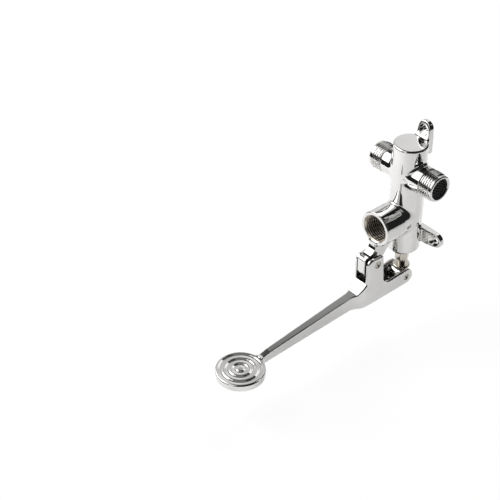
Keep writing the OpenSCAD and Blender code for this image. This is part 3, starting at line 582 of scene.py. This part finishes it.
def slotHalf(y, s=leverShape):
    share = np.clip((y - s["prongBackY"] - s["widenFrom"]) / s["widenRun"], 0, 1)
    return s["slotFront"] + (s["slotBack"] - s["slotFront"]) * share


def treadDrop(r, s=leverShape):  # depth of the rings in the pedal's face
    wave = 0.5 + 0.5 * np.cos(2 * math.pi * (r - s["ringAt"]) / s["ringGap"])
    ringed = (r < s["ringAt"] + s["ringGap"] / 2) & (r > s["ringCentre"])
    return s["ringDepth"] * np.where(ringed, wave, 0)


leverSide = leverOutline(leverShape)
forkGap = slotOutline(leverShape)
leverPins = [(leverShape["pivotY"], leverShape["pivotZ"], leverShape["pivotPin"]),
             (leverShape["rollerY"], leverShape["rollerZ"], leverShape["rollerPin"])]


def leverField(x, y, z, s=leverShape):
    side = np.abs(x)
    share = np.clip((y - s["taperEnd"]) / (s["frontY"] - s["taperEnd"]), 0, 1)
    edge = s["armEdge"] + (s["forkEdge"] - s["armEdge"]) * share
    solid = roundBoth(outlineField(leverSide, y, z), side - leverHalf(y), edge)
    r = np.hypot(x, y - s["pedalY"])
    half = s["pedalThick"] / 2
    disc = roundBoth(r - s["pedalRadius"], slabField(z, s["pedalZ"] - half, half), s["pedalEdge"])
    solid = np.maximum(filletJoin(solid, disc, s["pedalFillet"]), s["tipUnder"] - z)  # flat underneath
    tread = np.where(r < s["pedalRadius"] - s["treadRim"], z - s["pedalZ"] + treadDrop(r), s["treadNone"])
    solid = np.maximum(solid, tread * s["treadSlant"])
    slot = np.maximum(outlineField(forkGap, y, z), side - slotHalf(y))
    solid = cutAway(solid, slot, s["slotEdge"])
    for py, pz, radius in leverPins:
        around = np.hypot(y - py, z - pz) - radius
        headSeat = np.maximum(around - s["pinHead"], float(leverHalf(np.array(py))) - s["pinDepth"] - x)
        solid = cutAway(solid, np.minimum(around - s["pinPlay"], headSeat), s["pinEdge"])
    return solid


leverPiece = fieldPiece("pedalLever", leverField, leverShape["boxLow"], leverShape["boxHigh"],
                        leverShape["cell"], chromePlate)
seat(leverPiece, "lever", "chrome", "lever")

# gland under the barrel, with a chamfered hexagon

gland = dict(
    bottom=-9.0, flange=1.5, flangeRadius=9.0, shank=7.97, shankTop=6.0, edge=0.3, stem=2.8,
    hexFlat=9.4, hexLength=8.8, hexHalf=5.0, hexEdge=0.2,
    chamferOut=0.35, chamferRise=1.1, chamferSlant=0.67, chamferEdge=0.15,
    ringZ=1.95, ringHalf=1.0, ringRoot=6.4, sealZ=(-4.5, 1.8), sealHalf=1.0, sealRadius=4.35,
    boxHalf=9.6, boxLow=-20.0, boxHigh=6.8, cell=0.3)


def hexagonField(g, x, ay, z, r):
    low = g["bottom"] - g["flange"] - g["hexLength"]
    across = np.full(np.broadcast(x, ay).shape, -1e9)
    for k in range(3):
        a = math.radians(60 * k + 30)
        across = np.maximum(across, np.abs(x * math.cos(a) + ay * math.sin(a)))
    flats = roundBoth(across - g["hexFlat"] / 2, slabField(z, low + g["hexHalf"], g["hexHalf"]), g["hexEdge"])
    cone = (r - g["hexFlat"] / 2 - g["chamferOut"] - g["chamferRise"] * (z - low)) * g["chamferSlant"]
    return roundBoth(flats, cone, g["chamferEdge"])


def glandField(x, y, z, g=gland):
    ay = y - casting["axisY"]
    r = np.hypot(x, ay)
    half, tall = g["flange"] / 2, (g["shankTop"] - g["bottom"]) / 2
    flange = roundBoth(r - g["flangeRadius"], slabField(z, g["bottom"] - half, half), g["edge"])
    shank = roundBoth(r - g["shank"], slabField(z, g["bottom"] + tall, tall), g["edge"])
    solid = np.minimum(np.minimum(hexagonField(g, x, ay, z, r), flange), shank)
    inward, beside = g["ringRoot"] - r, slabField(z, g["ringZ"], g["ringHalf"])
    inGroove = (inward < 0) & (beside < 0)
    groove = np.hypot(np.maximum(inward, 0), np.maximum(beside, 0)) - np.where(inGroove, g["ringHalf"], 0.0)
    solid = np.maximum(solid, -np.minimum(r - g["stem"], groove))
    for at in g["sealZ"]:
        solid = np.maximum(solid, -np.maximum(r - g["sealRadius"], slabField(z, at, g["sealHalf"])))
    return solid


glandPiece = fieldPiece("glandNut", glandField,
                        (-gland["boxHalf"], casting["axisY"] - gland["boxHalf"], gland["boxLow"]),
                        (gland["boxHalf"], casting["axisY"] + gland["boxHalf"], gland["boxHigh"]),
                        gland["cell"], nickelPlate)
seat(glandPiece, "body", "nickel", "bonnet")

# roller that pushes the spindle's foot

rollerShape = dict(radius=4.0, half=6.6, bore=1.85, edge=0.5, edgeShare=0.3, boreEdge=0.25, turns=64)


def onRollerPin(along, across, up):
    return np.stack([along, leverShape["rollerY"] + across, leverShape["rollerZ"] + up], 1)


def rollerRows(s):
    radius, half, edge, bore = s["radius"], s["half"], s["edge"], s["bore"]
    bevel = edge * s["edgeShare"]
    left = [(-half, bore + s["boreEdge"]), (-half, radius - edge)]
    left += [(-half + bevel, radius - bevel), (-half + edge, radius)]
    right = [(-along, r) for along, r in reversed(left)]
    hole = [(half - s["boreEdge"], bore), (-half + s["boreEdge"], bore)]
    return [(along, r, 0) for along, r in left + right + hole]


roller = turned("liftRoller", rollerRows(rollerShape), onRollerPin, brightSteel,
                rollerShape["turns"], closed=True)
seat(roller, "roller", "steel", "roller")

# the two slotted screw pins of the lever

pinShape = dict(
    headExtra=0.55, headIn=0.4, headThick=1.2, headEdge=0.35, headUnder=0.1,
    shankShort=0.05, shankEdge=0.3, shankIn=0.5,
    slotWidth=1.0, slotDepth=0.7, slotTurn=35.0, slotEdge=0.12,
    room=1.4, roomLeft=0.4, roomRight=0.5, cell=0.22)  # room is the space left round a pin for its skin


def screwPin(name, py, pz, radius, node, p=pinShape):
    face = float(leverHalf(np.array(py)))
    top = face - p["headIn"]
    turn = math.radians(p["slotTurn"])

    def pinField(x, y, z):
        dy, dz = y - py, z - pz
        r = np.hypot(dy, dz)
        shank = roundBoth(r - radius, -x - face + p["shankShort"], p["shankEdge"])
        shank = np.maximum(shank, x - top + p["shankIn"])
        head = roundBoth(r - radius - p["headExtra"], x - top, p["headEdge"])
        head = roundBoth(head, top - p["headThick"] - x, p["headUnder"])
        across = np.abs(dy * math.cos(turn) + dz * math.sin(turn))
        groove = np.maximum(across - p["slotWidth"] / 2, top - p["slotDepth"] - x)
        return cutAway(np.minimum(shank, head), groove, p["slotEdge"])

    reach = radius + p["room"]
    low = (-face - p["roomLeft"], py - reach, pz - reach)
    high = (face + p["roomRight"], py + reach, pz + reach)
    return seat(fieldPiece(name, pinField, low, high, p["cell"], nickelPlate), "lever", "nickel", node)


screwPin("pivotScrew", *leverPins[0], "pivot_pin")
screwPin("rollerScrew", *leverPins[1], "roller_pin")

# springs, one wire each

checkCoil = dict(radius=2.6, wire=0.25, low=15.5, high=23.3, fixedEnd=15.25, turns=5, keep=0.635)
springShape = dict(
    back=dict(name="returnCoil", node="return_spring", joint="spindle_lift",
              radius=4.9, wire=0.6, low=48.9, high=75.65, fixedEnd=76.25, turns=8, keep=0.838),
    left=dict(checkCoil, name="checkCoilLeft", node="check_spring_left", joint="left_check"),
    right=dict(checkCoil, name="checkCoilRight", node="check_spring_right", joint="right_check"))
wireMesh = dict(steps=28, sides=10, sharp=50)  # steps in a turn, sides round the wire


def onSpindle(along, across, up):
    return np.stack([across, casting["axisY"] + up, along], 1)


def coilPiece(s, place):
    steps, sides = wireMesh["steps"], wireMesh["sides"]
    total = s["turns"] * steps
    angle = np.arange(total + 1) * 2 * math.pi / steps
    rise = s["low"] + (s["high"] - s["low"]) * np.arange(total + 1) / total
    points = []
    for k in range(sides):
        b = 2 * math.pi * k / sides
        r = s["radius"] + s["wire"] * math.cos(b)
        points.append(place(rise + s["wire"] * math.sin(b), r * np.cos(angle), r * np.sin(angle)))
    faces = []
    for i in range(total):
        for k in range(sides):
            q = (k + 1) % sides
            faces.append((i * sides + k, i * sides + q, (i + 1) * sides + q, (i + 1) * sides + k))
    faces.append(tuple(reversed(range(sides))))
    faces.append(tuple(total * sides + k for k in range(sides)))
    points = np.stack(points, 1).reshape(-1, 3)
    piece = meshPiece(s["name"], points, faces, brightSteel, sharp=wireMesh["sharp"])
    tidyFaces(piece)
    seat(piece, "body", "steel", s["node"])
    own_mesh(piece)


coil = springShape["back"]
coilPiece(coil, onSpindle)
for label, sign in (("left", -1), ("right", 1)):
    coil = springShape[label]
    coilPiece(coil, onInlet(sign))
print("springs wound")

# the CAD nodes that keep their own shape get their finish

keptNodes = [
    (nickelPlate, ["spindle", "spindle_foot"]),
    (bareBrass, ["seat_ring", "valve_plug", "plug_nut"]),
    (dullRubber, ["seat_o_ring", "bonnet_o_ring", "stem_o_rings", "seat_washer",
                  "poppet_seal_left", "poppet_seal_right", "check_o_ring_left", "check_o_ring_right"]),
    (blackMoulding, ["check_body_left", "check_body_right", "check_poppet_left", "check_poppet_right",
                     "strainer_left", "strainer_right"])]
for material, nodeNames in keptNodes:
    for nodeName in nodeNames:
        data = cadNodes[nodeName].data
        data.materials.clear()
        data.materials.append(material)
print("CAD nodes finished")

# studio: pale floor, white surround, two soft boxes, and cards for the chrome to reflect

studio = dict(centre=(0.0, -0.0312, 0.03), floorZ=-0.075, floorSize=3.0, floorGrey=0.9,
              seenShare=0.9, mirrorShare=0.05, ambient=0.42, cardStep=5, cardRows=16)


def aroundValve(az, el, away):  # a place by its two angles and its distance from the valve's middle
    cx, cy, cz = studio["centre"]
    a, e = math.radians(az), math.radians(el)
    flat = away * math.cos(e)
    return cx + flat * math.cos(a), cy + flat * math.sin(a), cz + away * math.sin(e)


def whichRay(tree, camera, other):  # one value for camera rays, one for glossy and clear rays, 0 for the rest
    path = tree.nodes.new("ShaderNodeLightPath")
    seen = tree.nodes.new("ShaderNodeMath")
    seen.operation = "MULTIPLY"
    seen.inputs[1].default_value = camera
    tree.links.new(path.outputs["Is Camera Ray"], seen.inputs[0])
    mirrored = tree.nodes.new("ShaderNodeMath")
    mirrored.operation = "MAXIMUM"
    tree.links.new(path.outputs["Is Glossy Ray"], mirrored.inputs[0])
    tree.links.new(path.outputs["Is Transmission Ray"], mirrored.inputs[1])
    both = tree.nodes.new("ShaderNodeMath")
    both.operation = "MULTIPLY_ADD"
    both.inputs[1].default_value = other
    tree.links.new(mirrored.outputs[0], both.inputs[0])
    tree.links.new(seen.outputs[0], both.inputs[2])
    return both.outputs[0]


def stageMaterial(name):  # an empty material: its tree and the socket of its surface
    mat = bpy.data.materials.new(name)
    mat.use_nodes = True
    tree = mat.node_tree
    tree.nodes.remove(tree.nodes["Principled BSDF"])
    return mat, tree, tree.nodes["Material Output"].inputs["Surface"]


def stagePiece(name, points, faces, material):
    mesh = bpy.data.meshes.new(name)
    mesh.from_pydata(points, [], faces)
    mesh.materials.append(material)
    piece = bpy.data.objects.new(name, mesh)
    bpy.context.scene.collection.objects.link(piece)
    return piece


def studioFloor():
    mat, tree, surface = stageMaterial("paleFloor")
    paper = tree.nodes.new("ShaderNodeBsdfDiffuse")
    paper.inputs["Color"].default_value = (studio["floorGrey"], studio["floorGrey"], studio["floorGrey"], 1)
    glow = tree.nodes.new("ShaderNodeEmission")
    glow.inputs["Color"].default_value = (1, 1, 1, 1)
    mix = tree.nodes.new("ShaderNodeMixShader")
    tree.links.new(whichRay(tree, studio["seenShare"], studio["mirrorShare"]), mix.inputs["Fac"])
    tree.links.new(paper.outputs[0], mix.inputs[1])
    tree.links.new(glow.outputs[0], mix.inputs[2])
    tree.links.new(mix.outputs[0], surface)
    half, z = studio["floorSize"], studio["floorZ"]
    corners = [(-half, -half, z), (half, -half, z), (half, half, z), (-half, half, z)]
    stagePiece("studioFloor", corners, [(0, 1, 2, 3)], mat)


def cardPaper():  # the grey of a card is kept on its points
    mat, tree, surface = stageMaterial("cardPaper")
    tone = tree.nodes.new("ShaderNodeAttribute")
    tone.attribute_name = "tone"
    glow = tree.nodes.new("ShaderNodeEmission")
    tree.links.new(tone.outputs["Color"], glow.inputs["Color"])
    tree.links.new(glow.outputs[0], surface)
    return mat


def greyCard(name, az, el, away, tones):
    # curved card round the valve; el, away and tones run from its low to its high edge
    wide, high = max(4, int((az[1] - az[0]) / studio["cardStep"])), studio["cardRows"]
    points, faces, greys = [], [], []
    for i in range(wide + 1):
        for j in range(high + 1):
            points.append(aroundValve(az[0] + (az[1] - az[0]) * i / wide, el[0] + (el[1] - el[0]) * j / high,
                                      away[0] + (away[1] - away[0]) * j / high))
            greys.append(float(np.interp(j / high, np.linspace(0, 1, len(tones)), tones)))
    for i in range(wide):
        for j in range(high):
            k = i * (high + 1) + j
            faces.append((k, k + 1, k + high + 2, k + high + 1))
    card = stagePiece(name, points, faces, cardGrey)
    tone = card.data.attributes.new("tone", "FLOAT_COLOR", "POINT")
    tone.data.foreach_set("color", [v for g in greys for v in (g, g, g, 1.0)])
    card.visible_camera = False
    card.visible_shadow = False
    card.visible_diffuse = False


def softBox(name, az, el, away, size, power):
    light = bpy.data.lights.new(name, "AREA")
    light.shape = "RECTANGLE"
    light.size, light.size_y = size
    light.energy = power
    lamp = bpy.data.objects.new(name, light)
    bpy.context.scene.collection.objects.link(lamp)
    lamp.location = aroundValve(az, el, away)
    lamp.rotation_euler = (Vector(studio["centre"]) - lamp.location).to_track_quat("-Z", "Y").to_euler()
    lamp.visible_glossy = False  # the chrome reflects a light card in its place


def whiteSurround():
    world = bpy.data.worlds.new("whiteSurround")
    bpy.context.scene.world = world
    world.use_nodes = True
    tree = world.node_tree
    back = tree.nodes["Background"]
    back.inputs["Color"].default_value = (1, 1, 1, 1)
    level = tree.nodes.new("ShaderNodeMath")
    level.operation = "ADD"
    level.inputs[1].default_value = studio["ambient"]
    tree.links.new(whichRay(tree, 1 - studio["ambient"], 1 - studio["ambient"]), level.inputs[0])
    tree.links.new(level.outputs[0], back.inputs["Strength"])


studioFloor()
whiteSurround()
cardGrey = cardPaper()
# dark and grey cards, and a light card for each soft box
greyCard("cardLeftFront", (195, 275), (-17, 10), (0.35, 0.90), (0.02, 0.02))
greyCard("cardRight", (8, 31), (-6, 62), (0.80, 0.80), (0.02, 0.02))
greyCard("cardRightBack", (30, 96), (-6, 62), (0.22, 0.22), (0.02, 0.02))
greyCard("cardStreak", (47, 62), (38, 43), (0.21, 0.21), (0.7, 0.7))
greyCard("cardLeftBack", (134, 190), (36, 72), (0.80, 0.80), (0.95, 0.42, 0.06, 0.02, 0.02))
greyCard("cardCameraSide", (-72, 12), (-6, 66), (0.80, 0.80), (0.03, 0.02))
greyCard("cardCeilingNear", (-80, 126), (58, 90), (0.78, 0.78), (0.05, 0.02))
greyCard("cardCeilingFar", (126, 280), (66, 90), (0.78, 0.78), (0.3, 0.2))
greyCard("cardBackLight", (96, 135), (41, 58), (0.76, 0.76), (1.3, 1.3))  # light card
greyCard("cardBackLow", (92, 126), (6, 36), (0.85, 0.85), (0.72, 0.72))
greyCard("cardLeftLow", (148, 186), (6, 33), (0.85, 0.85), (0.72, 0.72))
greyCard("cardFrontLight", (190, 248), (14, 57), (0.70, 0.70), (3.4, 3.4))  # light card
softBox("softBoxLeftFront", 222, 36, 0.7, (0.50, 0.50), 5.0)
softBox("softBoxBack", 117, 49, 1.0, (0.4, 0.3), 5.0)
print("studio set")

# camera at the photo's angle, for a 500 by 500 picture

photoCamera = dict(place=(551.2, -634.9, 616.6), elevation=37.5, turn=49.5, focal=101.06, sensor=36.0,
                   near=0.01, far=20)


def setCamera():
    data = bpy.data.cameras.new("photoCamera")
    data.sensor_fit = "HORIZONTAL"
    data.sensor_width = photoCamera["sensor"]
    data.lens = photoCamera["focal"]
    data.clip_start, data.clip_end = photoCamera["near"], photoCamera["far"]
    camera = bpy.data.objects.new("photoCamera", data)
    bpy.context.scene.collection.objects.link(camera)
    camera.location = Vector(photoCamera["place"]) * mm
    tilt, turn = 90 - photoCamera["elevation"], photoCamera["turn"]
    camera.rotation_euler = (math.radians(tilt), 0, math.radians(turn))
    bpy.context.scene.camera = camera


setCamera()
bpy.context.scene.view_settings.view_transform = "Standard"
print("camera set")
